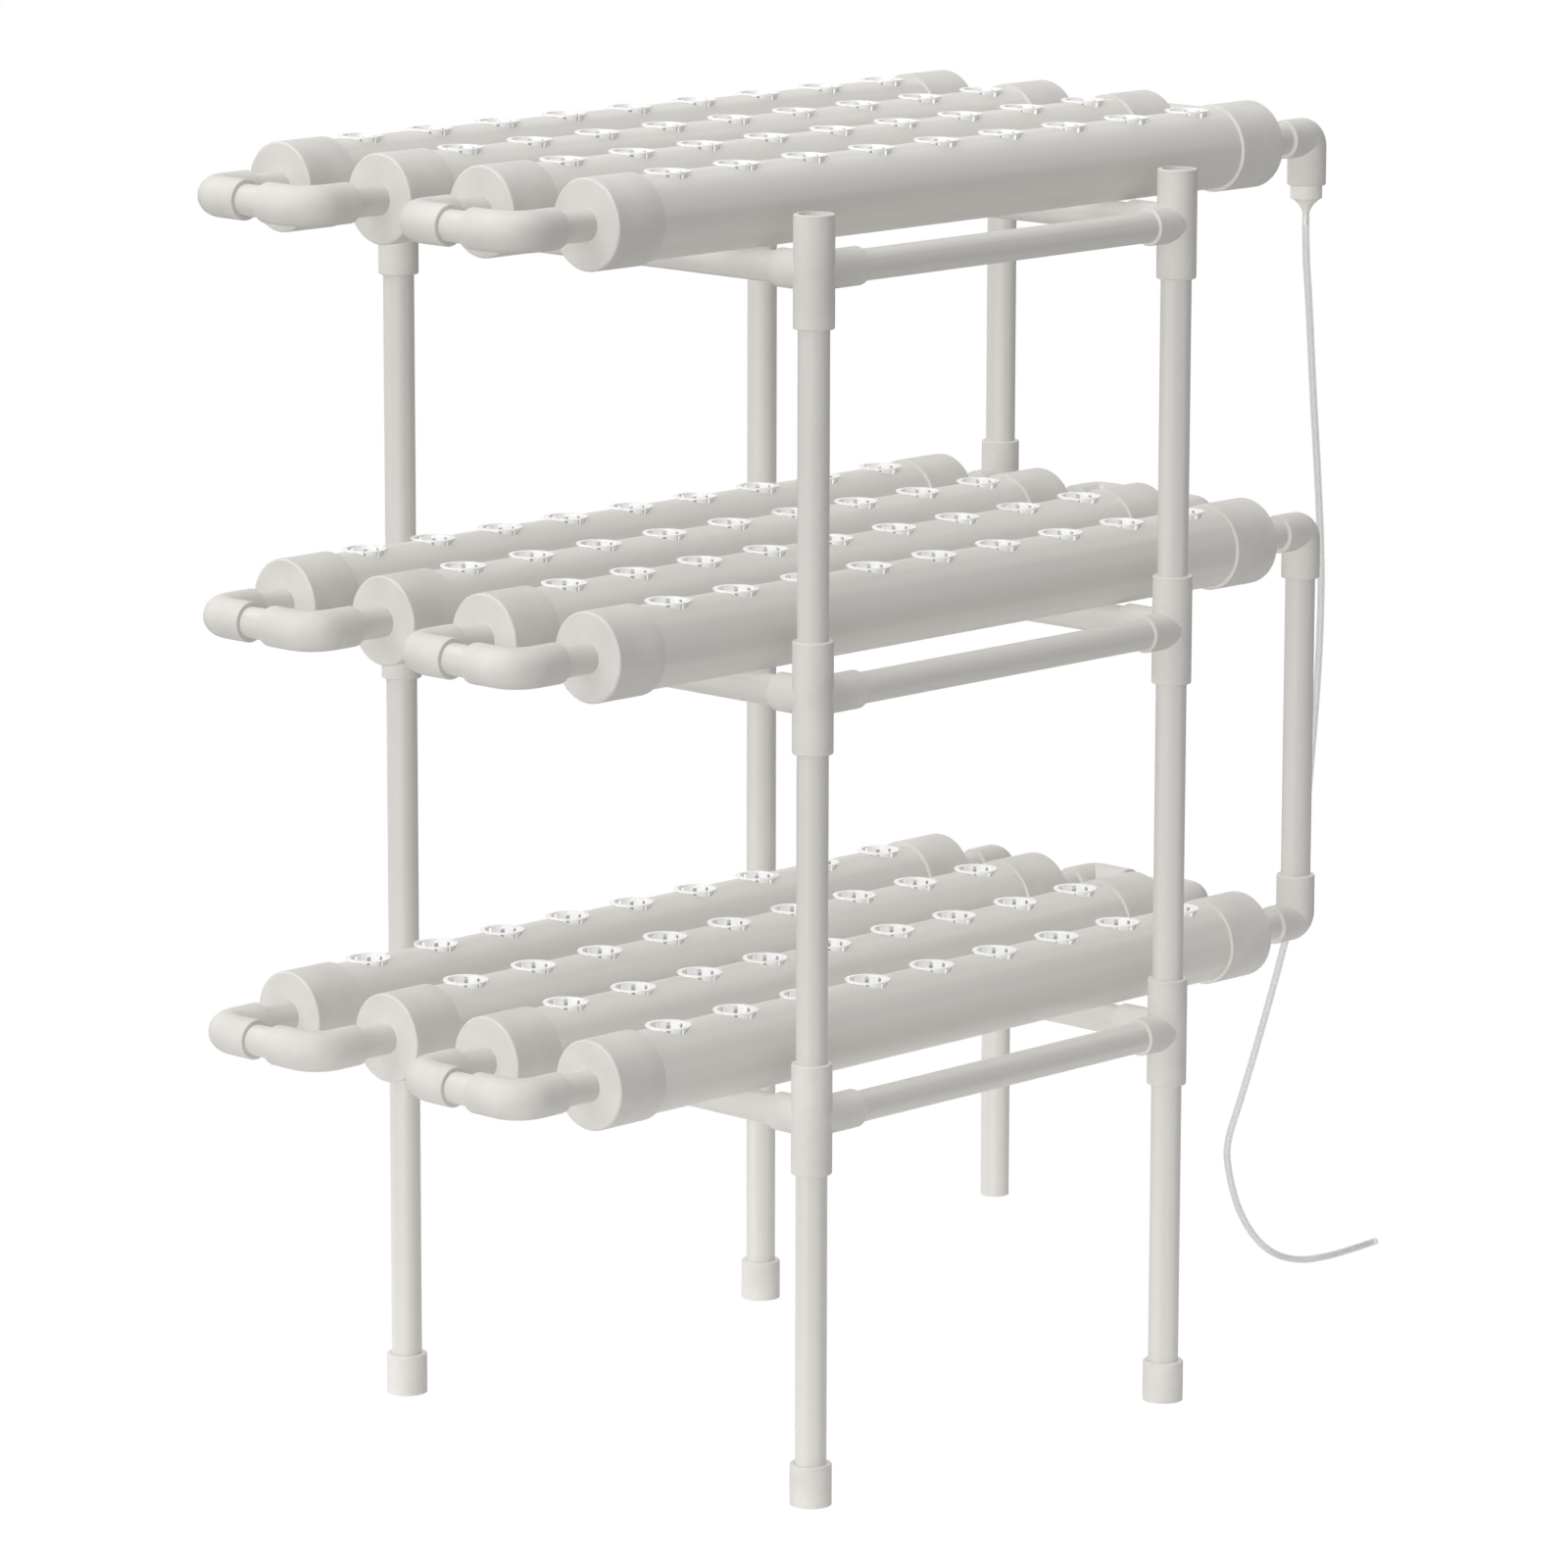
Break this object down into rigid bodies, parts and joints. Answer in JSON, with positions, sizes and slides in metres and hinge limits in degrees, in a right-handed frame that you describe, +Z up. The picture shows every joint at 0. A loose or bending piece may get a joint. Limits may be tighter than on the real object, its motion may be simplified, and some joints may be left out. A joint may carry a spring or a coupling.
{
  "type": "hydroponic growing rack",
  "caption": "Freestanding tube rack with stacked levels of capped grow pipes, lift-out net cups, U-bends, drop tubes, an open drain and a clear supply hose.",
  "frame": {"origin": "on the floor, under the middle of the rack's box without its supply hose", "axes": "+X along the grow pipes towards the inlet and the drop tubes, +Y from the front pipes towards the back, +Z up"},
  "size_m": [1.2028, 0.4978, 1.0608],
  "materials": {
    "pipe_plastic": "smooth extruded and moulded PVC, warm off-white, satin",
    "cup_plastic": "thin moulded bright white plastic",
    "hose_clear": "clear flexible tubing"
  },
  "bodies": {
    "rack": {"foot_caps": "pipe_plastic", "corner_tees_low": "pipe_plastic", "leg_tubes_low": "pipe_plastic", "rails_low": "pipe_plastic", "cross_tubes_low": "pipe_plastic", "corner_tees_mid": "pipe_plastic", "leg_tubes_mid": "pipe_plastic", "rails_mid": "pipe_plastic", "cross_tubes_mid": "pipe_plastic", "corner_tees_top": "pipe_plastic", "leg_tubes_top": "pipe_plastic", "rails_top": "pipe_plastic", "cross_tubes_top": "pipe_plastic", "grow_pipe_low_1": "pipe_plastic", "grow_pipe_low_2": "pipe_plastic", "grow_pipe_low_3": "pipe_plastic", "grow_pipe_low_4": "pipe_plastic", "end_caps_left_low": "pipe_plastic", "end_caps_right_low": "pipe_plastic", "pipe_stubs_low": "pipe_plastic", "elbows_low": "pipe_plastic", "link_tubes_low": "pipe_plastic", "grow_pipe_mid_1": "pipe_plastic", "grow_pipe_mid_2": "pipe_plastic", "grow_pipe_mid_3": "pipe_plastic", "grow_pipe_mid_4": "pipe_plastic", "end_caps_left_mid": "pipe_plastic", "end_caps_right_mid": "pipe_plastic", "pipe_stubs_mid": "pipe_plastic", "elbows_mid": "pipe_plastic", "link_tubes_mid": "pipe_plastic", "grow_pipe_top_1": "pipe_plastic", "grow_pipe_top_2": "pipe_plastic", "grow_pipe_top_3": "pipe_plastic", "grow_pipe_top_4": "pipe_plastic", "end_caps_left_top": "pipe_plastic", "end_caps_right_top": "pipe_plastic", "pipe_stubs_top": "pipe_plastic", "elbows_top": "pipe_plastic", "link_tubes_top": "pipe_plastic", "drop_tube_back": "pipe_plastic", "drop_tube_front": "pipe_plastic", "drain_tube": "pipe_plastic", "inlet_reducer": "pipe_plastic", "supply_hose": "hose_clear"},
    "cups_low_1": {"net_cups_low_1": "cup_plastic"},
    "cups_low_2": {"net_cups_low_2": "cup_plastic"},
    "cups_low_3": {"net_cups_low_3": "cup_plastic"},
    "cups_low_4": {"net_cups_low_4": "cup_plastic"},
    "cups_mid_1": {"net_cups_mid_1": "cup_plastic"},
    "cups_mid_2": {"net_cups_mid_2": "cup_plastic"},
    "cups_mid_3": {"net_cups_mid_3": "cup_plastic"},
    "cups_mid_4": {"net_cups_mid_4": "cup_plastic"},
    "cups_top_1": {"net_cups_top_1": "cup_plastic"},
    "cups_top_2": {"net_cups_top_2": "cup_plastic"},
    "cups_top_3": {"net_cups_top_3": "cup_plastic"},
    "cups_top_4": {"net_cups_top_4": "cup_plastic"}
  },
  "joints": [
    {"name": "lift_cups_low_1", "type": "slide", "parent": "rack", "child": "cups_low_1", "axis": [0, 0, 1], "range_m": [0, 0.06]},
    {"name": "lift_cups_low_2", "type": "slide", "parent": "rack", "child": "cups_low_2", "axis": [0, 0, 1], "range_m": [0, 0.06]},
    {"name": "lift_cups_low_3", "type": "slide", "parent": "rack", "child": "cups_low_3", "axis": [0, 0, 1], "range_m": [0, 0.06]},
    {"name": "lift_cups_low_4", "type": "slide", "parent": "rack", "child": "cups_low_4", "axis": [0, 0, 1], "range_m": [0, 0.06]},
    {"name": "lift_cups_mid_1", "type": "slide", "parent": "rack", "child": "cups_mid_1", "axis": [0, 0, 1], "range_m": [0, 0.06]},
    {"name": "lift_cups_mid_2", "type": "slide", "parent": "rack", "child": "cups_mid_2", "axis": [0, 0, 1], "range_m": [0, 0.06]},
    {"name": "lift_cups_mid_3", "type": "slide", "parent": "rack", "child": "cups_mid_3", "axis": [0, 0, 1], "range_m": [0, 0.06]},
    {"name": "lift_cups_mid_4", "type": "slide", "parent": "rack", "child": "cups_mid_4", "axis": [0, 0, 1], "range_m": [0, 0.06]},
    {"name": "lift_cups_top_1", "type": "slide", "parent": "rack", "child": "cups_top_1", "axis": [0, 0, 1], "range_m": [0, 0.06]},
    {"name": "lift_cups_top_2", "type": "slide", "parent": "rack", "child": "cups_top_2", "axis": [0, 0, 1], "range_m": [0, 0.06]},
    {"name": "lift_cups_top_3", "type": "slide", "parent": "rack", "child": "cups_top_3", "axis": [0, 0, 1], "range_m": [0, 0.06]},
    {"name": "lift_cups_top_4", "type": "slide", "parent": "rack", "child": "cups_top_4", "axis": [0, 0, 1], "range_m": [0, 0.06]}
  ]
}
